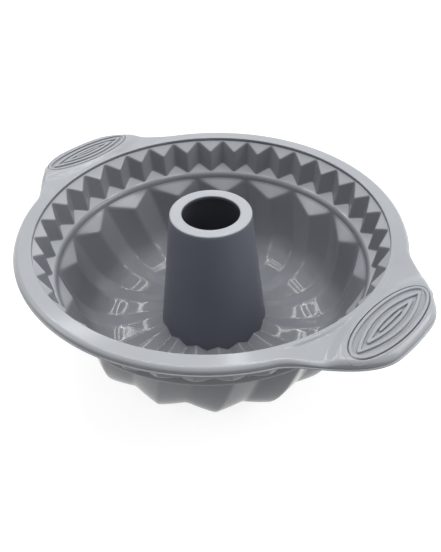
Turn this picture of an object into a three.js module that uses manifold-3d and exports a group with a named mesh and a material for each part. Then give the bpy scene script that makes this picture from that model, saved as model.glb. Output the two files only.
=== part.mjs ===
// Silicone bundt mould: a swirl-fluted bowl with a pleated band, a hollow centre tube,
// a rim skin with two handles and ribbed grip pads, and a wire frame shut inside the rim.
// Millimetres, Z up, the foot of the tube stands on Z = 0, the handles lie on the X axis.
import * as THREE from 'three';
import { mergeVertices } from 'three/addons/utils/BufferGeometryUtils.js';
import Module from 'manifold-3d';

const wasm = await Module();
wasm.setup();

// Fits
const GAP = 0.3;
const WALL = 2.6;

// Rim and handles
const RIM_TOP_Z = 93.5;
const RIM_INNER_R = 118;
const RIM_WIDTH = 12;
const COVER_T = 2.3;
const LIP_T = 1.9;
const LIP_OUT = 0.8;
const SHOULDER = 1.6;
const HANDLE_OUT = 26;
const HANDLE_ROOT_DEG = 31;
const HANDLE_END_DEG = 6;
const HANDLE_ROUND = 2.4;

// Pleated band under the rim
const TOOTH_COUNT = 36;
const BAND_IN = 0.3;
const TOOTH_DEPTH = 5.9;
const TOOTH_TOP_DROP = 6.9;
const TOOTH_LOW_RISE = 5.2;
const BAND_H = 24.3;
const BAND_TAPER = 2.2;

// Step between the band and the flutes
const STEP_H = 5.2;
const STEP_TAPER = 2.6;
const STEP_BEAD = 1.2;

// Flutes and floor
const FLUTE_COUNT = 16;
const FLUTE_PHASE_DEG = 6.6;
const SWIRL_DEG = 14.4;
const FACET_IN = 7.6;
const FACET_DROP = 9.2;
const FLOOR_LOW_R = 70;
const FLOOR_RIDGE_R = 64.2;
const FLOOR_RIDGE_H = 3.3;
const FOOT_RISE = 5.1;
const FOOT_RIDGE_H = 3.4;
const FLUTE_COLUMNS = 6;

// Centre tube
const TUBE_RISE = 7.5;
const TUBE_TOP_R = 27.7;
const TUBE_HOLE_R = 19.5;
const TUBE_FOOT_R = 40.2;
const TUBE_CAP_T = 3;
const TUBE_EDGE = 1;
const TUBE_SEGMENTS = 56;

// Wire frame
const WIRE_R = 0.9;
const WIRE_SIDES = 8;
const FRAME_IN_RIM = 4.5;
const FRAME_DROP = 0.2;
const LOOP_EDGE = 7.5;
const LOOP_HALF_W = 31;
const LOOP_ROOT_DEG = 14.5;

// Grip pads
const PAD_EDGE = 5.5;
const PAD_HALF_W = 12.6;
const PAD_HALF_L = 36.5;
const PAD_T = 0.6;
const PAD_POCKET = 1;
const RIB_W = 2;
const RIB_H = 1.2;
const RIB_PITCH = 4.1;
const RIB_TIPS = [0.85, 0.6];
const RIB_POINTS = 11;

const DEG = Math.PI / 180;
const SEAM_Z = RIM_TOP_Z - COVER_T;
const LIP_TOP_Z = SEAM_Z - GAP;
const LIP_LOW_Z = LIP_TOP_Z - LIP_T;
const FRAME_R = RIM_INNER_R + FRAME_IN_RIM;
const FRAME_Z = SEAM_Z - GAP / 2 - FRAME_DROP;
const STEP_TOP_Z = LIP_TOP_Z - BAND_H;
const STEP_LOW_Z = STEP_TOP_Z - STEP_H;
const BAND_R = RIM_INNER_R - BAND_IN;
const STEP_TOP_R = BAND_R - TOOTH_DEPTH - BAND_TAPER;
const STEP_LOW_R = STEP_TOP_R - STEP_TAPER;
const HANDLE_REACH = RIM_INNER_R + RIM_WIDTH + HANDLE_OUT;
const PAD_CENTRE_R = HANDLE_REACH - PAD_EDGE - PAD_HALF_W;
const teeth = Math.max(8, Math.round(TOOTH_COUNT));
const flutes = Math.max(6, Math.round(FLUTE_COUNT));

// Smooth step from 0 to 1
function ease(x) {
  const t = Math.min(1, Math.max(0, x));
  return t * t * (3 - 2 * t);
}

function mix(a, b, w) {
  return a + (b - a) * w;
}

// Angle to the nearer handle axis, in degrees
function fromHandle(angle) {
  const a = Math.abs(Math.atan2(Math.sin(angle), Math.cos(angle))) / DEG;
  return Math.min(a, 180 - a);
}

// Outer edge of the lip: the round rim, swelling into a handle at each end of the X axis
function rimEdge(angle) {
  const a = fromHandle(angle);
  const swell = ease((HANDLE_ROOT_DEG - a) / (HANDLE_ROOT_DEG - HANDLE_END_DEG));
  return mix(RIM_INNER_R + RIM_WIDTH, HANDLE_REACH, swell);
}

// 0 in a valley of the pleated band, 1 on a peak; a valley lies on the handle axis
function pleat(angle) {
  const u = (angle * teeth) / (2 * Math.PI);
  const f = u - Math.floor(u);
  return 1 - Math.abs(2 * f - 1);
}

// A closed ring: the loop of points that profile(angle) returns, carried around the axis
function ringGeometry(angles, profile) {
  const position = [];
  const index = [];
  let rows = 0;
  for (const angle of angles) {
    const loop = profile(angle);
    rows = loop.length;
    for (const p of loop) {
      const a = p.length > 2 ? p[2] : angle;
      position.push(p[0] * Math.cos(a), p[0] * Math.sin(a), p[1]);
    }
  }
  const columns = angles.length;
  for (let j = 0; j < columns; j += 1) {
    const k = (j + 1) % columns;
    for (let i = 0; i < rows; i += 1) {
      const n = (i + 1) % rows;
      const a = j * rows + i;
      const b = k * rows + i;
      const c = k * rows + n;
      const d = j * rows + n;
      index.push(a, b, c, a, c, d);
    }
  }
  return facingOut(position, index);
}

// Indexed geometry whose faces look outwards
function facingOut(position, index) {
  let volume = 0;
  const v = (n) => new THREE.Vector3(position[3 * n], position[3 * n + 1], position[3 * n + 2]);
  for (let i = 0; i < index.length; i += 3) {
    volume += v(index[i]).dot(v(index[i + 1]).cross(v(index[i + 2])));
  }
  const faces = index.slice();
  if (volume < 0) {
    for (let i = 0; i < faces.length; i += 3) {
      const keep = faces[i];
      faces[i] = faces[i + 1];
      faces[i + 1] = keep;
    }
  }
  const geometry = new THREE.BufferGeometry();
  geometry.setAttribute('position', new THREE.Float32BufferAttribute(position, 3));
  geometry.setIndex(faces);
  return geometry;
}

function toSolid(geometry) {
  const plain = geometry.clone();
  plain.deleteAttribute('normal');
  plain.deleteAttribute('uv');
  const merged = mergeVertices(plain, 1e-4);
  return new wasm.Manifold(new wasm.Mesh({
    numProp: 3,
    vertProperties: new Float32Array(merged.attributes.position.array),
    triVerts: new Uint32Array(merged.index.array),
  }));
}

function toGeometry(solid) {
  const mesh = solid.getMesh();
  const geometry = new THREE.BufferGeometry();
  geometry.setAttribute('position', new THREE.Float32BufferAttribute(mesh.vertProperties, 3));
  geometry.setIndex(new THREE.Uint32BufferAttribute(mesh.triVerts, 1));
  return geometry;
}

// A bar of round section along flat points [x, y] at one height
function rodGeometry(points, z, radius, closed) {
  const position = [];
  const index = [];
  const count = points.length;
  for (let i = 0; i < count; i += 1) {
    const before = closed ? points[(i + count - 1) % count] : points[Math.max(0, i - 1)];
    const after = closed ? points[(i + 1) % count] : points[Math.min(count - 1, i + 1)];
    const along = new THREE.Vector2(after[0] - before[0], after[1] - before[1]).normalize();
    for (let k = 0; k < WIRE_SIDES; k += 1) {
      const a = ((k + 0.5) * 2 * Math.PI) / WIRE_SIDES;
      const side = radius * Math.cos(a);
      position.push(points[i][0] + along.y * side, points[i][1] - along.x * side);
      position.push(z + radius * Math.sin(a));
    }
  }
  const spans = closed ? count : count - 1;
  for (let i = 0; i < spans; i += 1) {
    const n = (i + 1) % count;
    for (let k = 0; k < WIRE_SIDES; k += 1) {
      const m = (k + 1) % WIRE_SIDES;
      const a = i * WIRE_SIDES + k;
      const b = i * WIRE_SIDES + m;
      const c = n * WIRE_SIDES + m;
      const d = n * WIRE_SIDES + k;
      index.push(a, b, c, a, c, d);
    }
  }
  if (!closed) {
    const last = (count - 1) * WIRE_SIDES;
    for (let k = 1; k < WIRE_SIDES - 1; k += 1) {
      index.push(0, k + 1, k);
      index.push(last, last + k, last + k + 1);
    }
  }
  return facingOut(position, index);
}

// Angles of the pleat lines, with extra columns across the handles
const rimAngles = [];
for (let j = 0; j < 2 * teeth; j += 1) {
  const step = Math.PI / teeth;
  const parts = fromHandle((j + 0.5) * step) < HANDLE_ROOT_DEG + 1 ? 2 : 1;
  for (let k = 0; k < parts; k += 1) {
    rimAngles.push((j + k / parts) * step);
  }
}

// Band, step and lip in one ring
const bandGeometry = ringGeometry(rimAngles, (angle) => {
  const w = pleat(angle);
  const edge = rimEdge(angle);
  const small = GAP * 2;
  const peakTop = [BAND_R - TOOTH_DEPTH, LIP_TOP_Z - TOOTH_TOP_DROP];
  const valleyTop = [BAND_R, LIP_TOP_Z - small];
  const peakLow = [STEP_TOP_R + 0.15, STEP_TOP_Z + small];
  const valleyLow = [BAND_R - BAND_TAPER, STEP_TOP_Z + TOOTH_LOW_RISE];
  const outR = STEP_TOP_R + WALL * 1.2;
  const outZ = STEP_TOP_Z - WALL * 0.6;
  const lerp = (a, b) => [mix(a[0], b[0], w), mix(a[1], b[1], w)];
  return [
    [RIM_INNER_R, LIP_TOP_Z],
    lerp(valleyTop, peakTop),
    lerp(valleyLow, peakLow),
    [STEP_TOP_R, STEP_TOP_Z],
    [mix(STEP_TOP_R, STEP_LOW_R, 0.56), STEP_TOP_Z - STEP_H * 0.17],
    [mix(STEP_TOP_R, STEP_LOW_R, 0.89), STEP_TOP_Z - STEP_H * 0.55],
    [STEP_LOW_R, STEP_LOW_Z + STEP_H * 0.12],
    [STEP_LOW_R + STEP_H * 0.1, STEP_LOW_Z],
    [outR + STEP_BEAD * 0.3, STEP_LOW_Z],
    [outR + STEP_BEAD, STEP_LOW_Z + STEP_H * 0.15],
    [outR + STEP_BEAD, outZ - STEP_H * 0.12],
    [outR, outZ],
    lerp([valleyLow[0] + WALL * 0.85, valleyLow[1] - WALL * 0.65], [outR - 0.2, outZ + WALL * 0.35]),
    lerp([valleyTop[0] + WALL, LIP_LOW_Z - 1.2], [peakTop[0] + WALL, peakTop[1] - WALL * 0.85]),
    [RIM_INNER_R + WALL + 0.5, LIP_LOW_Z],
    [edge - LIP_T * 0.3, LIP_LOW_Z],
    [edge, LIP_LOW_Z + LIP_T * 0.3],
    [edge, LIP_TOP_Z - LIP_T * 0.15],
    [edge - LIP_T * 0.2, LIP_TOP_Z],
  ];
});

// Meridian lines of the flutes: the groove lies outside, the ridge stands into the bowl
const tubeTopZ = RIM_TOP_Z + TUBE_RISE;
function tubeRadius(z) {
  return mix(TUBE_FOOT_R, TUBE_TOP_R, z / tubeTopZ);
}
const footGrooveZ = WALL + FOOT_RISE;
const footRidgeZ = footGrooveZ + FOOT_RIDGE_H;
const grooveTop = new THREE.Vector2(STEP_LOW_R - 0.1, STEP_LOW_Z - 0.8);
const ridgeTop = new THREE.Vector2(STEP_LOW_R - FACET_IN, STEP_LOW_Z - FACET_DROP);
const grooveLow = new THREE.Vector2(FLOOR_LOW_R, WALL);
const ridgeLow = new THREE.Vector2(FLOOR_RIDGE_R, WALL + FLOOR_RIDGE_H);
const grooveFoot = new THREE.Vector2(tubeRadius(footGrooveZ) + GAP, footGrooveZ);
const ridgeFoot = new THREE.Vector2(tubeRadius(footRidgeZ) + GAP, footRidgeZ);

function wallCurve(top, low) {
  const high = new THREE.Vector2(mix(top.x, low.x, 0.086), mix(top.y, low.y, 0.69));
  const turn = new THREE.Vector2(mix(top.x, low.x, 0.29), low.y);
  return new THREE.CubicBezierCurve(top, high, turn, low);
}

function floorCurve(low, foot) {
  return new THREE.QuadraticBezierCurve(low, new THREE.Vector2(mix(low.x, foot.x, 0.45), low.y), foot);
}

const wallSteps = [0, 0.24, 0.44, 0.62, 0.8, 1];
const floorSteps = [0.5, 1];
function meridian(wall, floor) {
  const line = [];
  for (const t of wallSteps) {
    line.push({ p: wall.getPoint(t), d: wall.getTangent(t) });
  }
  for (const t of floorSteps) {
    line.push({ p: floor.getPoint(t), d: floor.getTangent(t) });
  }
  return line;
}
const groove = meridian(wallCurve(grooveTop, grooveLow), floorCurve(grooveLow, grooveFoot));
const ridge = meridian(wallCurve(ridgeTop, ridgeLow), floorCurve(ridgeLow, ridgeFoot));

// Way from the step to the foot, for the swirl; the ridges start a facet's drop further on
const travel = [0];
for (let i = 1; i < groove.length; i += 1) {
  travel.push(travel[i - 1] + groove[i].p.distanceTo(groove[i - 1].p));
}
const whole = travel[travel.length - 1];

const fluteAngles = [];
for (let j = 0; j < flutes * FLUTE_COLUMNS; j += 1) {
  fluteAngles.push((j * 2 * Math.PI) / (flutes * FLUTE_COLUMNS));
}

const fluteGeometry = ringGeometry(fluteAngles, (angle) => {
  const u = (angle * flutes) / (2 * Math.PI);
  const w = 1 - Math.abs(2 * (u - Math.floor(u + 1e-9)) - 1);
  const phase = FLUTE_PHASE_DEG * DEG;
  const inside = [[STEP_LOW_R + 0.3, STEP_LOW_Z + STEP_H * 0.25, angle + phase]];
  const outside = [];
  groove.forEach((g, i) => {
    const r = ridge[i];
    const gone = travel[i] / whole;
    const lead = (w * FACET_DROP * (1 - gone)) / whole;
    const turn = angle + phase - SWIRL_DEG * DEG * (gone + lead);
    inside.push([mix(g.p.x, r.p.x, w), mix(g.p.y, r.p.y, w), turn]);
    const back = (q) => [q.p.x - q.d.y * WALL, q.p.y + q.d.x * WALL];
    const a = back(g);
    const b = back(r);
    const z = Math.max(0, mix(a[1], b[1], w));
    const atFoot = i === groove.length - 1;
    outside.push([atFoot ? tubeRadius(z) + GAP : mix(a[0], b[0], w), z, turn]);
  });
  const outTop = [STEP_LOW_R + 0.3 + WALL, STEP_LOW_Z + STEP_H * 0.25, angle + phase];
  return [...inside, ...outside.reverse(), outTop];
});

// Wire frame: a hoop in the rim and a bent loop in each handle
const hoopPoints = [];
for (let j = 0; j < 2 * teeth; j += 1) {
  const a = (j * Math.PI) / teeth;
  hoopPoints.push([FRAME_R * Math.cos(a), FRAME_R * Math.sin(a)]);
}
const loopRoot = FRAME_R + WIRE_R + GAP;
const loopEnd = HANDLE_REACH - LOOP_EDGE;
const loopHalf = [
  [loopRoot * Math.cos(LOOP_ROOT_DEG * DEG), loopRoot * Math.sin(LOOP_ROOT_DEG * DEG)],
  [mix(loopRoot, loopEnd, 0.15), LOOP_HALF_W * 1.05],
  [mix(loopRoot, loopEnd, 0.45), LOOP_HALF_W],
  [mix(loopRoot, loopEnd, 0.78), LOOP_HALF_W * 0.8],
  [mix(loopRoot, loopEnd, 0.95), LOOP_HALF_W * 0.42],
];
const loopBends = [...loopHalf, [loopEnd, 0], ...loopHalf.map((p) => [p[0], -p[1]]).reverse()];
const loopCurve = new THREE.SplineCurve(loopBends.map((p) => new THREE.Vector2(p[0], p[1])));
const loopPoints = loopCurve.getPoints(28).map((p) => [p.x, p.y]);
const rootIn = (p) => [p[0] - 3 * WIRE_R, p[1] - 1.2 * WIRE_R * Math.sign(p[1])];
const slotPoints = [rootIn(loopPoints[0]), ...loopPoints, rootIn(loopPoints[loopPoints.length - 1])];
const turned = (points) => points.map((p) => [-p[0], -p[1]]);

const channelR = WIRE_R + GAP;
const channels = toSolid(rodGeometry(hoopPoints, FRAME_Z, channelR, true))
  .add(toSolid(rodGeometry(slotPoints, FRAME_Z, channelR, false)))
  .add(toSolid(rodGeometry(turned(slotPoints), FRAME_Z, channelR, false)));

const bowlGeometry = toGeometry(
  toSolid(bandGeometry).add(toSolid(fluteGeometry)).subtract(channels),
);

// Grip pads: an oval plate with nested ribs
function ovalShape(halfW, halfL) {
  const shape = new THREE.Shape();
  shape.absellipse(0, 0, halfW, halfL, 0, 2 * Math.PI, false, 0);
  return shape;
}

// Pointed oval: two arcs that meet in a tip at each end
function almond(halfW, halfL) {
  const line = [];
  for (let i = 0; i < RIB_POINTS; i += 1) {
    const s = -1 + (2 * i) / RIB_POINTS;
    line.push(new THREE.Vector2(halfW * (1 - s * s), s * halfL));
  }
  for (let i = 0; i < RIB_POINTS; i += 1) {
    const s = 1 - (2 * i) / RIB_POINTS;
    line.push(new THREE.Vector2(-halfW * (1 - s * s), s * halfL));
  }
  return line;
}

function slab(shape, low, high) {
  const geometry = new THREE.ExtrudeGeometry(shape, {
    depth: high - low, bevelEnabled: false, curveSegments: RIB_POINTS * 2,
  });
  geometry.translate(0, 0, low);
  return geometry;
}

const padLowZ = RIM_TOP_Z - PAD_POCKET + GAP;
const padTopZ = padLowZ + PAD_T;
const ribTopZ = padTopZ + RIB_H;
const ribRootZ = padTopZ - PAD_T / 2;
const tipReach = RIB_W * 1.6;

function padSolid() {
  const plate = toSolid(slab(ovalShape(PAD_HALF_W, PAD_HALF_L), padLowZ, padTopZ));
  const outer = ovalShape(PAD_HALF_W - RIB_W * 0.2, PAD_HALF_L - RIB_W * 0.2);
  outer.holes.push(ovalShape(PAD_HALF_W - RIB_W * 1.2, PAD_HALF_L - RIB_W * 1.2));
  let solid = plate.add(toSolid(slab(outer, ribRootZ, ribTopZ)));
  const middleW = PAD_HALF_W - RIB_W * 0.7;
  for (let n = 1; n < 3; n += 1) {
    const halfW = middleW - n * RIB_PITCH;
    const halfL = PAD_HALF_L * RIB_TIPS[n - 1];
    const rib = new THREE.Shape(almond(halfW + RIB_W / 2, halfL + tipReach / 2));
    rib.holes.push(new THREE.Path(almond(halfW - RIB_W / 2, halfL - tipReach / 2)));
    solid = solid.add(toSolid(slab(rib, ribRootZ, ribTopZ)));
  }
  const core = new THREE.Shape(almond(RIB_W * 0.55, PAD_HALF_L * 0.3));
  return solid.add(toSolid(slab(core, ribRootZ, ribTopZ)));
}
const padGeometry = toGeometry(padSolid());
padGeometry.translate(PAD_CENTRE_R, 0, 0);
const padGeometryLeft = padGeometry.clone().rotateZ(Math.PI);

// Rim cover: the skin over the lip, with the channel and the two pad pockets cut in
const coverRing = ringGeometry(rimAngles, (angle) => {
  const edge = rimEdge(angle) - LIP_OUT;
  const handle = (rimEdge(angle) - RIM_INNER_R - RIM_WIDTH) / HANDLE_OUT;
  const shoulder = SHOULDER + HANDLE_ROUND * handle;
  const soft = COVER_T * 0.16;
  return [
    [RIM_INNER_R, SEAM_Z],
    [RIM_INNER_R, RIM_TOP_Z - soft],
    [RIM_INNER_R + soft, RIM_TOP_Z],
    [edge - shoulder, RIM_TOP_Z],
    [edge - shoulder * 0.45, RIM_TOP_Z - COVER_T * 0.16],
    [edge - shoulder * 0.12, RIM_TOP_Z - COVER_T * 0.5],
    [edge, RIM_TOP_Z - COVER_T * 0.88],
    [edge - LIP_OUT * 0.4, SEAM_Z],
  ];
});
const pocketShape = ovalShape(PAD_HALF_W + GAP, PAD_HALF_L + GAP);
const pocketRight = slab(pocketShape, RIM_TOP_Z - PAD_POCKET, RIM_TOP_Z + 1).translate(PAD_CENTRE_R, 0, 0);
const pocketLeft = pocketRight.clone().rotateZ(Math.PI);
const coverGeometry = toGeometry(
  toSolid(coverRing).subtract(channels).subtract(toSolid(pocketRight)).subtract(toSolid(pocketLeft)),
);

// Centre tube: a hollow cone with a flat ring at the top
const tubeProfile = [
  [TUBE_FOOT_R, 0],
  [tubeRadius(tubeTopZ - TUBE_EDGE), tubeTopZ - TUBE_EDGE],
  [TUBE_TOP_R - TUBE_EDGE * 0.3, tubeTopZ - TUBE_EDGE * 0.3],
  [TUBE_TOP_R - TUBE_EDGE, tubeTopZ],
  [TUBE_HOLE_R + TUBE_EDGE, tubeTopZ],
  [TUBE_HOLE_R + TUBE_EDGE * 0.3, tubeTopZ - TUBE_EDGE * 0.3],
  [TUBE_HOLE_R, tubeTopZ - TUBE_EDGE],
  [TUBE_HOLE_R, tubeTopZ - TUBE_CAP_T],
  [tubeRadius(tubeTopZ - TUBE_CAP_T - WALL) - WALL, tubeTopZ - TUBE_CAP_T - WALL * 0.4],
  [TUBE_FOOT_R - WALL, 0],
  [TUBE_FOOT_R, 0],
].map((p) => new THREE.Vector2(p[0], p[1]));
const tubeLathe = new THREE.LatheGeometry(tubeProfile, TUBE_SEGMENTS).rotateX(Math.PI / 2);
tubeLathe.deleteAttribute('normal');
tubeLathe.deleteAttribute('uv');
const tubeMerged = mergeVertices(tubeLathe, 1e-4);
const tubeGeometry = facingOut(
  Array.from(tubeMerged.attributes.position.array),
  Array.from(tubeMerged.index.array),
);

const silicone = { color: 0x9aa0a6, roughness: 0.5, metalness: 0 };
const dark = { color: 0x6b717b, roughness: 0.45, metalness: 0 };
const steel = { color: 0xb9bcc0, roughness: 0.35, metalness: 1 };

const part = new THREE.Group();
part.name = 'bundt_mould';

function place(name, geometry, look) {
  const mesh = new THREE.Mesh(geometry, new THREE.MeshStandardMaterial(look));
  mesh.name = name;
  part.add(mesh);
}

place('fluted_bowl', bowlGeometry, silicone);
place('centre_tube', tubeGeometry, dark);
place('rim_cover', coverGeometry, silicone);
place('frame_ring', rodGeometry(hoopPoints, FRAME_Z, WIRE_R, true), steel);
place('frame_loop_right', rodGeometry(loopPoints, FRAME_Z, WIRE_R, false), steel);
place('frame_loop_left', rodGeometry(turned(loopPoints), FRAME_Z, WIRE_R, false), steel);
place('grip_pad_right', padGeometry, silicone);
place('grip_pad_left', padGeometryLeft, silicone);

export default part;
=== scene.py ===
import math

import bpy
import numpy as np
from mathutils import Matrix, Vector


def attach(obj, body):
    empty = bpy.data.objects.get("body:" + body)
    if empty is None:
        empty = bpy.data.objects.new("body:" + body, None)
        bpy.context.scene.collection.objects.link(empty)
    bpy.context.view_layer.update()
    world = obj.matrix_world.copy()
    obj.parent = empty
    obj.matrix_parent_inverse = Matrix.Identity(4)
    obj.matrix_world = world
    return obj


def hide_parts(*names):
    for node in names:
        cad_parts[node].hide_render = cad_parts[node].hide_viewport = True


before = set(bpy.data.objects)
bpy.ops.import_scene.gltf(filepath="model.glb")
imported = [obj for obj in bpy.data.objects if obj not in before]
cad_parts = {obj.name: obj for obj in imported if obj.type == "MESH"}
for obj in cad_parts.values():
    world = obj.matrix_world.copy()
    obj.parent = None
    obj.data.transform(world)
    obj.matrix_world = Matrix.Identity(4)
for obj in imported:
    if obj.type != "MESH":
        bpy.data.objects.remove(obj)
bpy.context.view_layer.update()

scene = bpy.context.scene
MM = 0.001
FULL_TURN = 2 * math.pi

# Sizes of the part, in millimetres, as in the part's source
GAP = 0.3
WALL = 2.6
RIM_TOP_Z = 93.5
RIM_INNER_R = 118.0
RIM_WIDTH = 12.0
COVER_T = 2.3
LIP_T = 1.9
LIP_OUT = 0.8
SHOULDER = 1.6
HANDLE_OUT = 26.0
HANDLE_ROOT_DEG = 31.0
HANDLE_END_DEG = 6.0
HANDLE_ROUND = 2.4
TOOTH_COUNT = 36
BAND_IN = 0.3
TOOTH_DEPTH = 5.9
TOOTH_TOP_DROP = 6.9
TOOTH_LOW_RISE = 5.2
BAND_H = 24.3
BAND_TAPER = 2.2
STEP_H = 5.2
STEP_TAPER = 2.6
STEP_BEAD = 1.2
FLUTE_COUNT = 16
FLUTE_PHASE_DEG = 6.6
SWIRL_DEG = 14.4
FACET_IN = 7.6
FACET_DROP = 9.2
FLOOR_LOW_R = 70.0
FLOOR_RIDGE_R = 64.2
FLOOR_RIDGE_H = 3.3
FOOT_RISE = 5.1
FOOT_RIDGE_H = 3.4
TUBE_RISE = 7.5
TUBE_TOP_R = 27.7
TUBE_HOLE_R = 19.5
TUBE_FOOT_R = 40.2
TUBE_CAP_T = 3.0
PAD_HALF_W = 12.6
PAD_HALF_L = 36.5
PAD_EDGE = 5.5
RIB_W = 2.0
RIB_PITCH = 4.1
RIB_TIPS = (0.85, 0.6)

HANDLE_REACH = RIM_INNER_R + RIM_WIDTH + HANDLE_OUT
PAD_CENTRE_R = HANDLE_REACH - PAD_EDGE - PAD_HALF_W
SEAM_Z = RIM_TOP_Z - COVER_T
LIP_TOP_Z = SEAM_Z - GAP
LIP_LOW_Z = LIP_TOP_Z - LIP_T
STEP_TOP_Z = LIP_TOP_Z - BAND_H
STEP_LOW_Z = STEP_TOP_Z - STEP_H
STEP_TOP_R = RIM_INNER_R - BAND_IN - TOOTH_DEPTH - BAND_TAPER
STEP_LOW_R = STEP_TOP_R - STEP_TAPER
TUBE_TOP_Z = RIM_TOP_Z + TUBE_RISE


# Mesh helpers
def ring_mesh(name, points, closed=True):
    """A mesh from points[column, row, xyz] in millimetres; rows that don't close get two caps."""
    cols, rows = points.shape[:2]
    ids = np.arange(cols * rows).reshape(cols, rows)
    nxt = np.roll(ids, -1, axis=0)
    if closed:
        high, nxt_high = np.roll(ids, -1, axis=1), np.roll(nxt, -1, axis=1)
        quads = np.stack([ids, nxt, nxt_high, high], -1).reshape(-1, 4)
        caps = []
    else:
        quads = np.stack([ids[:, :-1], nxt[:, :-1], nxt[:, 1:], ids[:, 1:]], -1).reshape(-1, 4)
        caps = [ids[::-1, 0].tolist(), ids[:, -1].tolist()]
    verts = points.reshape(-1, 3)
    p = verts[quads]
    normal = np.cross(p[:, 2] - p[:, 0], p[:, 3] - p[:, 1])
    faces = quads.tolist() + caps
    if (normal * p.mean(1)).sum() < 0:
        faces = [face[::-1] for face in faces]
    mesh = bpy.data.meshes.new(name)
    mesh.from_pydata((verts * MM).tolist(), [], faces)
    mesh.validate()
    mesh.shade_smooth()
    return mesh


def new_piece(name, mesh, nodes, material):
    obj = bpy.data.objects.new(name, mesh)
    scene.collection.objects.link(obj)
    mesh.materials.append(material)
    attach(obj, "root")
    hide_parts(*nodes)


def round_angles(count):
    return np.linspace(0, FULL_TURN, count, endpoint=False)


def quarter_turn(steps, first=1):
    return [math.radians(90.0 * k / steps) for k in range(first, steps + 1)]


def polar(r, z, a):
    return np.stack([r * np.cos(a), r * np.sin(a), z], -1)


def ease(x):
    t = np.clip(x, 0.0, 1.0)
    return t * t * (3.0 - 2.0 * t)


def mix(a, b, w):
    return a + (b - a) * w


def wave(a, count):
    """Straight-sided waves round the axis: 0 in each valley, 1 on each peak."""
    u = a * count / FULL_TURN
    u = u - np.floor(u + 1e-9)
    return 1.0 - np.abs(2.0 * u - 1.0)


def rounded(x, at_zero, at_one):
    """A ramp from 0 to 1 whose two ends are softened."""
    y = 1.0 - x
    y = (np.sqrt(y * y + at_one ** 2) - at_one) / (math.sqrt(1 + at_one ** 2) - at_one)
    x = 1.0 - y
    return (np.sqrt(x * x + at_zero ** 2) - at_zero) / (math.sqrt(1 + at_zero ** 2) - at_zero)


def resample(path, count, soften):
    """Even steps along each column's (r, z, turn) path, its corners softened over a few steps."""
    d = np.hypot(np.diff(path[..., 0], axis=1), np.diff(path[..., 1], axis=1))
    s = np.concatenate([np.zeros((len(path), 1)), np.cumsum(d, axis=1)], axis=1)
    out = np.empty((len(path), count, path.shape[2]))
    for c in range(len(path)):
        even = np.linspace(0.0, s[c, -1], count)
        for k in range(path.shape[2]):
            out[c, :, k] = np.interp(even, s[c], path[c, :, k])
    for _ in range(soften):
        out[:, 1:-1] = 0.25 * out[:, :-2] + 0.5 * out[:, 1:-1] + 0.25 * out[:, 2:]
    return out


def bezier(p, t):
    """Points of a curve with three or four control points."""
    p = [np.array(q, float) for q in p]
    t = np.asarray(t)[:, None]
    if len(p) == 3:
        return (1 - t) ** 2 * p[0] + 2 * t * (1 - t) * p[1] + t * t * p[2]
    return ((1 - t) ** 3 * p[0] + 3 * t * (1 - t) ** 2 * p[1]
            + 3 * t * t * (1 - t) * p[2] + t ** 3 * p[3])


# Outlines that several pieces share
def rim_edge(a):
    """Radius of the rim's outer edge, which swells into the two handles."""
    deg = np.abs(np.degrees(np.arctan2(np.sin(a), np.cos(a))))
    deg = np.minimum(deg, 180.0 - deg)
    swell = ease((HANDLE_ROOT_DEG - deg) / (HANDLE_ROOT_DEG - HANDLE_END_DEG))
    return mix(RIM_INNER_R + RIM_WIDTH, HANDLE_REACH, swell)


def tube_radius(z):
    return mix(TUBE_FOOT_R, TUBE_TOP_R, z / TUBE_TOP_Z)


# Fluted wall and floor. A bend is the share of the way in that the wall takes high up and at its lower bend.
GROOVE_BEND = (0.15, 0.34)
RIDGE_BEND = (0.086, 0.29)
BEND_DROP = 0.69
FLOOR_LEVEL = 0.45
WALL_STEPS, FLOOR_STEPS = 64, 25
FLUTE_COLUMNS = FLUTE_COUNT * 32
GROOVE_ROUND, RIDGE_ROUND = 0.03, 0.09
GROOVE_TOP = (STEP_LOW_R - 0.1, STEP_LOW_Z - 0.8)
TUCK_R = STEP_LOW_R + 0.3
TUCK_Z = STEP_LOW_Z + STEP_H * 0.2
FLUTE_ROWS_IN, FLUTE_ROWS_OUT, FLUTE_SOFTEN = 124, 70, 2


def meridian(top, low, foot, bend):
    """Line of a groove or ridge from under the step, down the wall and over the floor to the tube."""
    high, turn = bend
    wall = [top, (mix(top[0], low[0], high), mix(top[1], low[1], BEND_DROP)),
            (mix(top[0], low[0], turn), low[1]), low]
    floor = [low, (mix(low[0], foot[0], FLOOR_LEVEL), low[1]), foot]
    return np.concatenate([bezier(wall, np.linspace(0, 1, WALL_STEPS)),
                           bezier(floor, np.linspace(0, 1, FLOOR_STEPS)[1:])])


def outer_line(line):
    """The same line on the outside of the wall, kept above the table."""
    d = np.gradient(line, axis=0)
    d /= np.linalg.norm(d, axis=1)[:, None]
    out = line + WALL * np.stack([-d[:, 1], d[:, 0]], -1)
    out[:, 1] = np.maximum(out[:, 1], 0.0)
    return out


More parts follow.
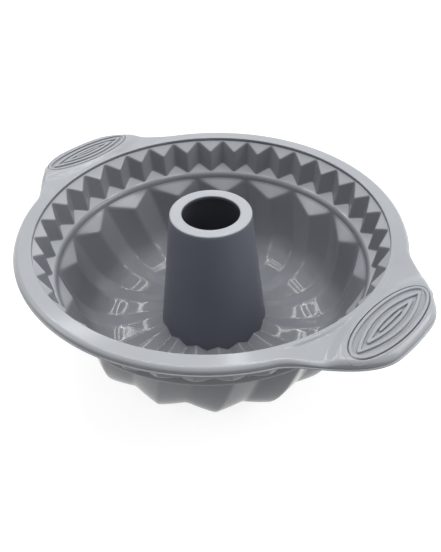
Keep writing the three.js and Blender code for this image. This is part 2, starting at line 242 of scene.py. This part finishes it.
def fluted_points():
    groove_foot_z = WALL + FOOT_RISE
    ridge_foot_z = groove_foot_z + FOOT_RIDGE_H
    groove = meridian(GROOVE_TOP, (FLOOR_LOW_R, WALL),
                      (tube_radius(groove_foot_z), groove_foot_z), GROOVE_BEND)
    ridge = meridian((STEP_LOW_R - FACET_IN, STEP_LOW_Z - FACET_DROP), (FLOOR_RIDGE_R, WALL + FLOOR_RIDGE_H),
                     (tube_radius(ridge_foot_z), ridge_foot_z), RIDGE_BEND)
    travel = np.concatenate([[0], np.cumsum(np.hypot(*np.diff(groove, axis=0).T))])
    whole = travel[-1]
    travel /= whole
    angle = round_angles(FLUTE_COLUMNS)
    w = rounded(wave(angle, FLUTE_COUNT), GROOVE_ROUND, RIDGE_ROUND)[:, None]
    gone = travel[None] + w * FACET_DROP / whole * (1.0 - travel[None])
    turn = angle[:, None] + math.radians(FLUTE_PHASE_DEG) - math.radians(SWIRL_DEG) * gone

    def side(tuck_r, low_line, high_line, rows):
        """One side of the wall, from where it tucks behind the step."""
        tuck = np.empty((FLUTE_COLUMNS, 1, 3))
        tuck[..., 0] = tuck_r
        tuck[..., 1] = TUCK_Z
        tuck[:, 0, 2] = angle + math.radians(FLUTE_PHASE_DEG)
        body_r = mix(low_line[:, 0], high_line[:, 0], w)
        body_z = mix(low_line[:, 1], high_line[:, 1], w)
        body = np.stack([body_r, body_z, turn], -1)
        return resample(np.concatenate([tuck, body], axis=1), rows, FLUTE_SOFTEN)

    inside = side(TUCK_R, groove, ridge, FLUTE_ROWS_IN)
    outside = side(TUCK_R + WALL, outer_line(groove), outer_line(ridge), FLUTE_ROWS_OUT)
    loop = np.concatenate([inside, outside[:, ::-1]], axis=1)
    return polar(loop[..., 0], loop[..., 1], loop[..., 2])


# Pleated band, step and lip, as points of radius and height; the lip's are set in from the rim's edge
LIP_SHOWN = 1.0
BAND_COLUMNS = TOOTH_COUNT * 20
VALLEY_ROUND, PEAK_ROUND = 0.04, 0.05
VALLEY_TOP = (RIM_INNER_R - BAND_IN, LIP_TOP_Z - 0.3)
VALLEY_LOW = (RIM_INNER_R - BAND_IN - BAND_TAPER, STEP_TOP_Z + TOOTH_LOW_RISE)
PEAK_TOP = (RIM_INNER_R - BAND_IN - TOOTH_DEPTH, LIP_TOP_Z - TOOTH_TOP_DROP)
PEAK_LOW = (STEP_TOP_R + 0.15, STEP_TOP_Z + 0.3)
STEP_ARC = (0.35, 0.7, 1.05, 1.4)
STEP_BACK_R = STEP_TOP_R + WALL * 1.2
STEP_BACK_Z = STEP_TOP_Z - WALL * 0.6
STEP_BACK = ((STEP_BACK_R + STEP_BEAD * 0.3, STEP_LOW_Z),
             (STEP_BACK_R + STEP_BEAD, STEP_LOW_Z + STEP_H * 0.15),
             (STEP_BACK_R + STEP_BEAD, STEP_BACK_Z - STEP_H * 0.12),
             (STEP_BACK_R, STEP_BACK_Z))
VALLEY_LOW_BACK = (VALLEY_LOW[0] + WALL * 0.85, VALLEY_LOW[1] - WALL * 0.65)
PEAK_LOW_BACK = (STEP_BACK_R - 0.2, STEP_BACK_Z + WALL * 0.35)
VALLEY_TOP_BACK = (VALLEY_TOP[0] + WALL, LIP_LOW_Z - 1.2)
PEAK_TOP_BACK = (PEAK_TOP[0] + WALL, PEAK_TOP[1] - WALL * 0.85)
LIP_ROOT = (RIM_INNER_R + WALL + 0.5, LIP_LOW_Z)
LIP_LINE = ((0.5, LIP_LOW_Z), (0.0, LIP_LOW_Z + LIP_SHOWN * 0.35), (0.0, LIP_LOW_Z + LIP_SHOWN * 0.75),
            (0.35, LIP_LOW_Z + LIP_SHOWN), (1.6, LIP_LOW_Z + LIP_SHOWN), (1.65, LIP_TOP_Z))
BAND_ROWS_IN, BAND_SOFTEN_IN = 70, 1
BAND_ROWS_OUT, BAND_SOFTEN_OUT = 60, 2


def band_points():
    angle = round_angles(BAND_COLUMNS)
    w = rounded(wave(angle, TOOTH_COUNT), VALLEY_ROUND, PEAK_ROUND)
    one = np.ones_like(w)
    edge = rim_edge(angle)

    def pleat(valley, peak):
        return np.stack([mix(valley[0], peak[0], w), mix(valley[1], peak[1], w), angle], -1)

    def level(r, z):
        return np.stack([r * one, z * one, angle], -1)

    inside = np.stack([
        level(RIM_INNER_R, LIP_TOP_Z),
        pleat(VALLEY_TOP, PEAK_TOP),
        pleat(VALLEY_LOW, PEAK_LOW),
        level(STEP_TOP_R, STEP_TOP_Z),
        *(level(STEP_LOW_R + STEP_TAPER * (1 - math.sin(b)), STEP_LOW_Z + STEP_H * math.cos(b))
          for b in STEP_ARC),
        level(STEP_LOW_R, STEP_LOW_Z)], 1)
    outside = np.stack([
        *(level(r, z) for r, z in STEP_BACK),
        pleat(VALLEY_LOW_BACK, PEAK_LOW_BACK),
        pleat(VALLEY_TOP_BACK, PEAK_TOP_BACK),
        level(*LIP_ROOT)], 1)
    lip = np.stack([level(*LIP_ROOT), *(level(edge - inward, z) for inward, z in LIP_LINE)], 1)
    inside = resample(inside, BAND_ROWS_IN, BAND_SOFTEN_IN)
    outside = resample(outside, BAND_ROWS_OUT, BAND_SOFTEN_OUT)[:, :-1]
    loop = np.concatenate([inside, outside, lip], axis=1)
    return polar(loop[..., 0], loop[..., 1], loop[..., 2])


# Rim cover with its handles. Heights are over the rim's top plane.
SWELL = 1.3
SWELL_START, SWELL_SPAN = 1.55, 0.45
NECK_DIP = 1.25
NECK_SPREAD = 3.0
BORDER_W, BORDER_SLOPE = 2.2, 2.0
EDGE_SOFT = 1.6
EDGE_DROP = 2.9
SKIRT_Z = LIP_LOW_Z + LIP_SHOWN + 0.2
SKIRT = ((0.15, SKIRT_Z), (0.5, SKIRT_Z), (0.55, SEAM_Z))
MOUTH_ROUND = 0.6
POCKET = 0.9
POCKET_EDGE, POCKET_SLOPE = 1.05, 0.08
COVER_COLUMNS = 1080
MOUTH_STEPS, TOP_STEPS, SHOULDER_STEPS = 4, 40, 12


def pad_share(x, y):
    """Place on a grip pad: 0 at its middle, 1 on its edge."""
    return np.hypot((np.abs(x) - PAD_CENTRE_R) / PAD_HALF_W, y / PAD_HALF_L)


def handle_share(a):
    """Place along a handle: 0 on the plain rim, 1 at the handle's end."""
    return (rim_edge(a) - RIM_INNER_R - RIM_WIDTH) / HANDLE_OUT


def shoulder(a):
    """Width of the rounding along the outer edge, broader on the handles."""
    return SHOULDER + EDGE_SOFT + HANDLE_ROUND * handle_share(a)


def skin_height(x, y):
    """Height of the skin: raised round a grip pad, hollow in the handle's neck, level in a narrow border
    along the mouth and rounded off at the outer edge."""
    a = np.arctan2(y, x)
    r = np.hypot(x, y)
    out = (r - rim_edge(a) + LIP_OUT) / shoulder(a) + 1.0
    fall = 1.0 - np.sqrt(1.0 - np.clip(out, 0.0, 1.0) ** 2)
    neck = ease(handle_share(a) * NECK_SPREAD) * ease((r - RIM_INNER_R - BORDER_W) / BORDER_SLOPE)
    rise = mix(-NECK_DIP * neck, SWELL, ease((SWELL_START - pad_share(x, y)) / SWELL_SPAN))
    return rise * (1.0 - fall) - EDGE_DROP * fall


def cover_points():
    angle = round_angles(COVER_COLUMNS)
    one = np.ones_like(angle)
    edge = rim_edge(angle) - LIP_OUT
    soft = shoulder(angle)
    rows = [(RIM_INNER_R * one, SEAM_Z * one)]
    for b in quarter_turn(MOUTH_STEPS, first=0):
        rows.append(((RIM_INNER_R + MOUTH_ROUND * (1 - math.cos(b))) * one,
                     (RIM_TOP_Z - MOUTH_ROUND + MOUTH_ROUND * math.sin(b)) * one))
    first_top = len(rows)
    for k in range(1, TOP_STEPS + 1):
        rows.append((mix(RIM_INNER_R + MOUTH_ROUND, edge - soft, k / TOP_STEPS), RIM_TOP_Z * one))
    for b in quarter_turn(SHOULDER_STEPS):
        rows.append((edge - soft * (1 - math.sin(b)), RIM_TOP_Z * one))
    last_top = len(rows)
    for inward, height in SKIRT:
        rows.append((edge - inward, height * one))
    r = np.stack([row[0] for row in rows], 1)
    z = np.stack([row[1] for row in rows], 1)
    p = polar(r, z, angle[:, None] * np.ones_like(r))
    top = p[:, first_top:last_top]
    dip = ease((POCKET_EDGE - pad_share(top[..., 0], top[..., 1])) / POCKET_SLOPE)
    top[..., 2] += mix(skin_height(top[..., 0], top[..., 1]), -POCKET, dip)
    return p


# Grip pads: an oval with a rib along its edge, two pointed loops of rib inside it and a core rib
PAD_MIDDLE, PAD_COLLAR = 0.004, 1.1
PAD_FLOOR = -0.1
PAD_RIB_H = 1.5
RIB_HALF, RIB_SLOPE = RIB_W / 2 + 0.2, 0.45
RIM_RIB_IN = RIB_W * 0.7
CORE_HALF_L, CORE_NARROW = PAD_HALF_L * 0.28, 1.2
COLLAR_OVER = 0.02
COLLAR_EDGE, COLLAR_SLOPE = 0.15, 0.3
PAD_LINE_DEPTH, PAD_LINE_W = 0.45, 0.35
PAD_UNDER_Z = RIM_TOP_Z - POCKET * 0.75
PAD_ROWS, PAD_COLUMNS = 124, 420


def pad_points(way):
    share = np.linspace(PAD_MIDDLE, PAD_COLLAR, PAD_ROWS)
    psi = round_angles(PAD_COLUMNS)[:, None]
    x = PAD_HALF_W * np.cos(psi) * share
    y = PAD_HALF_L * np.sin(psi) * share
    from_edge = (share - 1.0) * share / np.hypot(x / PAD_HALF_W ** 2, y / PAD_HALF_L ** 2)

    def rib(distance):
        return PAD_RIB_H * ease((RIB_HALF - np.abs(distance)) / RIB_SLOPE)

    h = rib(from_edge + RIM_RIB_IN)
    for n, tip in enumerate(RIB_TIPS, 1):
        a = PAD_HALF_W - RIM_RIB_IN - n * RIB_PITCH
        b = PAD_HALF_L * tip
        s = np.clip(np.abs(y) / b, 0, 1)
        arc = (np.abs(x) - a * (1 - s * s)) / np.sqrt(1 + (2 * a * s / b) ** 2)
        end = np.hypot(x, np.abs(y) - b)
        h = np.maximum(h, rib(np.where(np.abs(y) < b, arc, end)))
    core = np.hypot(x, np.maximum(np.abs(y) - CORE_HALF_L, 0))
    h = np.maximum(h, rib(core * CORE_NARROW))
    collar = skin_height(PAD_CENTRE_R + x, y) + COLLAR_OVER
    z = mix(PAD_FLOOR + h, collar, ease((from_edge + COLLAR_EDGE) / COLLAR_SLOPE))
    z = z - PAD_LINE_DEPTH * np.exp(-(from_edge / PAD_LINE_W) ** 2)
    top = np.stack([PAD_CENTRE_R + x, y, RIM_TOP_Z + z], -1)
    under = top[:, [-1, 0]].copy()
    under[..., 2] = PAD_UNDER_Z
    return np.concatenate([top, under], axis=1) * np.array([way, way, 1.0])


# Centre tube
TUBE_ROUND = 1.0
TUBE_COLUMNS = 160
TUBE_WALL_STEPS, TUBE_EDGE_STEPS, TUBE_RING_STEPS, TUBE_BORE_STEPS = 39, 6, 5, 19
CAP_LOW_Z = TUBE_TOP_Z - TUBE_CAP_T
BORE_TOP_Z = CAP_LOW_Z - WALL
BORE_SHOULDER = (1.0, 0.2)


def tube_points():
    line = [(TUBE_FOOT_R, 0.0)]
    for k in range(1, TUBE_WALL_STEPS + 1):
        z = (TUBE_TOP_Z - TUBE_ROUND) * k / TUBE_WALL_STEPS
        line.append((tube_radius(z), z))
    for b in quarter_turn(TUBE_EDGE_STEPS):
        line.append((TUBE_TOP_R - TUBE_ROUND + TUBE_ROUND * math.cos(b),
                     TUBE_TOP_Z - TUBE_ROUND + TUBE_ROUND * math.sin(b)))
    for k in range(1, TUBE_RING_STEPS + 1):
        line.append((mix(TUBE_TOP_R - TUBE_ROUND, TUBE_HOLE_R + TUBE_ROUND, k / TUBE_RING_STEPS), TUBE_TOP_Z))
    for b in quarter_turn(TUBE_EDGE_STEPS):
        line.append((TUBE_HOLE_R + TUBE_ROUND - TUBE_ROUND * math.sin(b),
                     TUBE_TOP_Z - TUBE_ROUND + TUBE_ROUND * math.cos(b)))
    bore_top_r = tube_radius(BORE_TOP_Z) - WALL
    line.append((TUBE_HOLE_R, CAP_LOW_Z))
    line.append((bore_top_r - BORE_SHOULDER[0], CAP_LOW_Z - BORE_SHOULDER[1]))
    line.append((bore_top_r, BORE_TOP_Z))
    for k in range(1, TUBE_BORE_STEPS + 1):
        z = mix(BORE_TOP_Z, 0.0, k / TUBE_BORE_STEPS)
        line.append((tube_radius(z) - WALL, z))
    line = np.array(line)
    one = np.ones((TUBE_COLUMNS, len(line)))
    return polar(line[:, 0] * one, line[:, 1] * one, round_angles(TUBE_COLUMNS)[:, None] * one)


# Materials. Faces that look up get a lighter tone as painted light and the other faces a darker tone as
# painted shade; the share of painted light by height is small on the floor and on the bead of the step, which
# are painted darker as painted shade.
PAINTED_LIGHT_SPAN = 100.0
PAINTED_LIGHT_STOPS = ((10.0, 0.2), (STEP_LOW_Z - 1.0, 1.0), (STEP_LOW_Z, 0.2),
              (STEP_TOP_Z - 0.4, 0.2), (STEP_TOP_Z + 0.2, 1.0))
PAINTED_LIGHT_TILT = (0.4, 0.66)
NOISE_SPAN = (0.3, 0.7)
DRIFT_SHADES = (0.95, 1.05)
DRIFT_SCALE, GLOSS_SCALE, GRAIN_SCALE, STEEL_SCALE = 14.0, 45.0, 1400.0, 300.0
GRAIN_DEPTH_M = 0.0002
SILICONE_IOR = 1.42
COAT_ROUGHNESS = 0.1
BLACK, WHITE = (0, 0, 0), (1, 1, 1)


def new_material(name):
    material = bpy.data.materials.new(name)
    material.use_nodes = True
    return material, material.node_tree, material.node_tree.nodes["Principled BSDF"]


def noise(tree, coord, scale, detail=2.0, rough=0.5):
    made = tree.nodes.new("ShaderNodeTexNoise")
    made.inputs["Scale"].default_value = scale
    made.inputs["Detail"].default_value = detail
    made.inputs["Roughness"].default_value = rough
    tree.links.new(coord.outputs["Object"], made.inputs["Vector"])
    return made.outputs["Fac"]


def ramp(tree, source, positions, colours):
    """A colour ramp over source."""
    made = tree.nodes.new("ShaderNodeValToRGB")
    elements = made.color_ramp.elements
    while len(elements) < len(positions):
        elements.new(1.0)
    for element, position, colour in zip(elements, positions, colours):
        element.position = position
        element.color = (*colour, 1)
    tree.links.new(source, made.inputs["Fac"])
    return made.outputs["Color"]


def axis_of(tree, vector, axis):
    split = tree.nodes.new("ShaderNodeSeparateXYZ")
    tree.links.new(vector, split.inputs["Vector"])
    return split.outputs[axis]


def math_of(tree, operation, first, second):
    made = tree.nodes.new("ShaderNodeMath")
    made.operation = operation
    tree.links.new(first, made.inputs[0])
    tree.links.new(second, made.inputs[1])
    return made.outputs["Value"]


def silicone(name, painted_shade_tone, painted_light_tone, rough, grain, coat=0.0):
    """Moulded silicone: slow random drifts of tone, fine grain, uneven gloss, and painted light and shade: a
    lighter tone on faces that look up, a darker one on the rest and low down.
    """
    material, tree, bsdf = new_material(name)
    bsdf.inputs["IOR"].default_value = SILICONE_IOR
    bsdf.inputs["Coat Weight"].default_value = coat
    bsdf.inputs["Coat Roughness"].default_value = COAT_ROUGHNESS
    coord = tree.nodes.new("ShaderNodeTexCoord")
    drift = noise(tree, coord, DRIFT_SCALE, detail=3.0)

    def drifting(colour):
        return ramp(tree, drift, NOISE_SPAN, [tuple(c * k for c in colour) for k in DRIFT_SHADES])

    # Painted light and shade: the lighter tone where a face looks up, less of it low in the bowl and on the
    # step's bead, and the darker tone elsewhere.
    height = tree.nodes.new("ShaderNodeMapRange")
    height.inputs["From Max"].default_value = PAINTED_LIGHT_SPAN * MM
    tree.links.new(axis_of(tree, coord.outputs["Object"], "Z"), height.inputs["Value"])
    kept = ramp(tree, height.outputs["Result"], [z / PAINTED_LIGHT_SPAN for z, share in PAINTED_LIGHT_STOPS],
                [(share,) * 3 for z, share in PAINTED_LIGHT_STOPS])
    facing_up = ramp(tree, axis_of(tree, coord.outputs["Normal"], "Z"), PAINTED_LIGHT_TILT, (BLACK, WHITE))
    blend = tree.nodes.new("ShaderNodeMix")
    blend.data_type = "RGBA"
    tree.links.new(math_of(tree, "MULTIPLY", facing_up, kept), blend.inputs["Factor"])
    tree.links.new(drifting(painted_shade_tone), blend.inputs["A"])
    tree.links.new(drifting(painted_light_tone), blend.inputs["B"])
    tree.links.new(blend.outputs["Result"], bsdf.inputs["Base Color"])
    smooth, dull = ((value,) * 3 for value in rough)
    gloss = ramp(tree, noise(tree, coord, GLOSS_SCALE, detail=4.0), NOISE_SPAN, (smooth, dull))
    tree.links.new(gloss, bsdf.inputs["Roughness"])
    bump = tree.nodes.new("ShaderNodeBump")
    bump.inputs["Strength"].default_value = grain
    bump.inputs["Distance"].default_value = GRAIN_DEPTH_M
    tree.links.new(noise(tree, coord, GRAIN_SCALE, rough=0.6), bump.inputs["Height"])
    tree.links.new(bump.outputs["Normal"], bsdf.inputs["Normal"])
    return material


def steel():
    material, tree, bsdf = new_material("drawn_steel")
    bsdf.inputs["Metallic"].default_value = 1.0
    streaks = noise(tree, tree.nodes.new("ShaderNodeTexCoord"), STEEL_SCALE)
    for socket, low, high in (("Base Color", (0.5, 0.51, 0.52), (0.66, 0.67, 0.68)),
                              ("Roughness", (0.25, 0.25, 0.25), (0.42, 0.42, 0.42))):
        tree.links.new(ramp(tree, streaks, (0.0, 1.0), (low, high)), bsdf.inputs[socket])
    return material


# Tones of the silicone: the darker one is painted shade, the lighter ones are painted light on faces that
# look up.
PAINTED_SHADE = (0.252, 0.263, 0.288)
PAINTED_LIGHT = (0.49, 0.512, 0.546)
RIM_PAINTED_LIGHT = (0.393, 0.414, 0.445)
# The tube's darker tone, darker than the bowl's, is painted shade; its lighter tone on the top ring is
# painted light.
TUBE_PAINTED_SHADE, TUBE_PAINTED_LIGHT = (0.168, 0.179, 0.216), (0.505, 0.527, 0.56)
rim_mat = silicone("silicone_satin", PAINTED_SHADE, RIM_PAINTED_LIGHT, rough=(0.3, 0.38), grain=0.2, coat=0.5)
bowl_mat = silicone("silicone_gloss", PAINTED_SHADE, PAINTED_LIGHT, rough=(0.06, 0.1), grain=0.03)
tube_mat = silicone("silicone_tube", TUBE_PAINTED_SHADE, TUBE_PAINTED_LIGHT, rough=(0.28, 0.36), grain=0.1)
steel_mat = steel()

# Pieces, in place of the solids they dress; the wire frame is carried over
new_piece("bowl_band", ring_mesh("bowl_band", band_points()), ["fluted_bowl"], bowl_mat)
new_piece("bowl_flutes", ring_mesh("bowl_flutes", fluted_points()), ["fluted_bowl"], bowl_mat)
new_piece("tube_skin", ring_mesh("tube_skin", tube_points()), ["centre_tube"], tube_mat)
new_piece("rim_skin", ring_mesh("rim_skin", cover_points()), ["rim_cover"], rim_mat)
for name, node, way in (("grip_right", "grip_pad_right", 1), ("grip_left", "grip_pad_left", -1)):
    new_piece(name, ring_mesh(name, pad_points(way), closed=False), [node], rim_mat)
for node in ("frame_ring", "frame_loop_right", "frame_loop_left"):
    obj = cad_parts[node]
    obj.data.materials.clear()
    obj.data.materials.append(steel_mat)

# Camera, fitted to the photograph's rim, pleats, flutes and tube; its place is in radii of the mouth
CAM_TURN = math.radians(44.716)
CAM_PITCH = math.radians(41.028)
CAM_ROLL = math.radians(-1.143)
CAM_BACK, CAM_RIGHT, CAM_UP = 3.3082, 0.0538, -0.3121
FOCAL_PX, IMAGE_PX = 580.0, 552.0
SENSOR_MM = 36.0
NEAREST_M = 0.01

turn = Matrix.Rotation(CAM_TURN, 3, "Z")
fwd = turn @ Vector((0, math.cos(CAM_PITCH), -math.sin(CAM_PITCH)))
side = turn @ Vector((1, 0, 0))
upward = turn @ Vector((0, math.sin(CAM_PITCH), math.cos(CAM_PITCH)))
right = math.cos(CAM_ROLL) * side + math.sin(CAM_ROLL) * upward
up = -math.sin(CAM_ROLL) * side + math.cos(CAM_ROLL) * upward
mouth = Vector((0, 0, RIM_TOP_Z * MM))
place = (-fwd * CAM_BACK + right * CAM_RIGHT + up * CAM_UP) * RIM_INNER_R * MM + mouth
cam_data = bpy.data.cameras.new("camera")
cam_data.sensor_fit = "VERTICAL"
cam_data.sensor_height = SENSOR_MM
cam_data.lens = FOCAL_PX / IMAGE_PX * SENSOR_MM
cam_data.clip_start = NEAREST_M
cam = bpy.data.objects.new("camera", cam_data)
scene.collection.objects.link(cam)
axes = Matrix((right, up, -fwd)).transposed().to_4x4()
cam.matrix_world = Matrix.Translation(place) @ axes
scene.camera = cam

# Lights, in metres as the photograph sees them: to the right, to the back and up
VIEW_RIGHT = Vector((0.7071, 0.7071, 0))
VIEW_BACK = Vector((-0.7071, 0.7071, 0))
LIT_POINT = Vector((0, 0, 0.08))
FILL_SIZE = (0.5, 0.5)


def seen_at(right_m, back_m, up_m):
    return VIEW_RIGHT * right_m + VIEW_BACK * back_m + Vector((0, 0, up_m))


def facing(at):
    """The turn of a lamp that looks at the mould's mouth."""
    return (LIT_POINT - at).to_track_quat("-Z", "Y")


def lamp(name, at, turned, size, watts):
    data = bpy.data.lights.new(name, "AREA")
    data.shape = "RECTANGLE"
    data.size, data.size_y = size
    data.energy = watts
    obj = bpy.data.objects.new(name, data)
    scene.collection.objects.link(obj)
    obj.location = at
    obj.rotation_euler = turned.to_euler()


def window(name, at, width, bar, watts):
    """A light like a window of two panes: four bars round it and one across."""
    turned = facing(at)
    upright, across = (bar, width), (width, bar)
    for part, over, along, size in (
            ("left", -0.5, 0.0, upright), ("right", 0.5, 0.0, upright),
            ("far", 0.0, 0.5, across), ("near", 0.0, -0.5, across), ("middle", 0.0, 0.0, across)):
        lamp(name + "_" + part, at + turned @ Vector((over * width, along * width, 0)), turned, size, watts)


window("key", seen_at(-0.2, 0.5, 1.08), width=0.6, bar=0.06, watts=0.94)
window("key_right", seen_at(0.3, 0.25, 1.13), width=0.34, bar=0.045, watts=0.44)
for name, over, watts in (("fill_right", 0.85, 2.7), ("fill_left", -0.85, 1.25)):
    at = seen_at(over, -0.05, 0.5)
    lamp(name, at, facing(at), FILL_SIZE, watts)


def sharp_rays(tree):
    """1 for a ray from the camera, a reflection or a clear piece, and 0 for a ray that only gathers light."""
    rays = tree.nodes.new("ShaderNodeLightPath")
    out = rays.outputs["Is Camera Ray"]
    for kind in ("Is Glossy Ray", "Is Transmission Ray"):
        out = math_of(tree, "MAXIMUM", out, rays.outputs[kind])
    return out


# Floor: pale, white to sharp rays, and clear from below; the white glow fades out round the foot, a painted
# shadow over the real soft shadow
FLOOR_HALF_M = 6
FLOOR_DROP_M = 0.0002
FLOOR_SHADE = (0.34, 0.34, 0.34, 1)
FLOOR_ROUGHNESS = 0.9
FLOOR_GLOW = 0.85
# No glow within GLOW_FROM_M of the axis and full glow from GLOW_FULL_M: the dim ring round the foot is a
# painted shadow.
GLOW_FROM_M, GLOW_FULL_M = 0.045, 0.075

mesh = bpy.data.meshes.new("floor")
corners = ((-1, -1), (1, -1), (1, 1), (-1, 1))
mesh.from_pydata([(x * FLOOR_HALF_M, y * FLOOR_HALF_M, 0) for x, y in corners], [], [(0, 1, 2, 3)])
floor = bpy.data.objects.new("floor", mesh)
scene.collection.objects.link(floor)
floor.location.z = -FLOOR_DROP_M
floor_mat, tree, bsdf = new_material("floor")
bsdf.inputs["Base Color"].default_value = FLOOR_SHADE
bsdf.inputs["Roughness"].default_value = FLOOR_ROUGHNESS
bsdf.inputs["Emission Color"].default_value = (*WHITE, 1)
ground = tree.nodes.new("ShaderNodeTexCoord")
far = tree.nodes.new("ShaderNodeVectorMath")
far.operation = "LENGTH"
glow_past_painted_shadow = tree.nodes.new("ShaderNodeMapRange")
glow_past_painted_shadow.interpolation_type = "SMOOTHSTEP"
glow_past_painted_shadow.inputs["From Min"].default_value = GLOW_FROM_M
glow_past_painted_shadow.inputs["From Max"].default_value = GLOW_FULL_M
glow_past_painted_shadow.inputs["To Max"].default_value = FLOOR_GLOW
tree.links.new(ground.outputs["Object"], far.inputs[0])
tree.links.new(far.outputs["Value"], glow_past_painted_shadow.inputs["Value"])
glow = math_of(tree, "MULTIPLY", sharp_rays(tree), glow_past_painted_shadow.outputs["Result"])
tree.links.new(glow, bsdf.inputs["Emission Strength"])
face = tree.nodes.new("ShaderNodeNewGeometry")
clear = tree.nodes.new("ShaderNodeBsdfTransparent")
open_below = tree.nodes.new("ShaderNodeMixShader")
tree.links.new(face.outputs["Backfacing"], open_below.inputs["Fac"])
tree.links.new(bsdf.outputs["BSDF"], open_below.inputs[1])
tree.links.new(clear.outputs["BSDF"], open_below.inputs[2])
tree.links.new(open_below.outputs["Shader"], tree.nodes["Material Output"].inputs["Surface"])
mesh.materials.append(floor_mat)

# Surroundings: a soft box, bright above and behind and darker low in front, and plain white to sharp rays
SKY_TOWARDS = VIEW_BACK * 0.42 + VIEW_RIGHT * 0.5 + Vector((0, 0, 0.76))
SKY_SPAN = (0.4, 0.8)
SKY_LOW = (0.52, 0.52, 0.53)
SKY_STRENGTH = 0.53

world = bpy.data.worlds.new("studio")
scene.world = world
world.use_nodes = True
tree = world.node_tree
sky = tree.nodes["Background"]
coord = tree.nodes.new("ShaderNodeTexCoord")
towards = tree.nodes.new("ShaderNodeVectorMath")
towards.operation = "DOT_PRODUCT"
towards.inputs[1].default_value = SKY_TOWARDS
span = tree.nodes.new("ShaderNodeMapRange")
span.inputs["From Min"].default_value = -1.0
span.inputs["From Max"].default_value = 1.0
tree.links.new(coord.outputs["Generated"], towards.inputs[0])
tree.links.new(towards.outputs["Value"], span.inputs["Value"])
tree.links.new(ramp(tree, span.outputs["Result"], SKY_SPAN, (SKY_LOW, WHITE)), sky.inputs["Color"])
sky.inputs["Strength"].default_value = SKY_STRENGTH
white = tree.nodes.new("ShaderNodeBackground")
white.inputs["Color"].default_value = (*WHITE, 1)
pick = tree.nodes.new("ShaderNodeMixShader")
tree.links.new(sharp_rays(tree), pick.inputs["Fac"])
tree.links.new(sky.outputs["Background"], pick.inputs[1])
tree.links.new(white.outputs["Background"], pick.inputs[2])
tree.links.new(pick.outputs["Shader"], tree.nodes["World Output"].inputs["Surface"])

scene.view_settings.view_transform = "Standard"
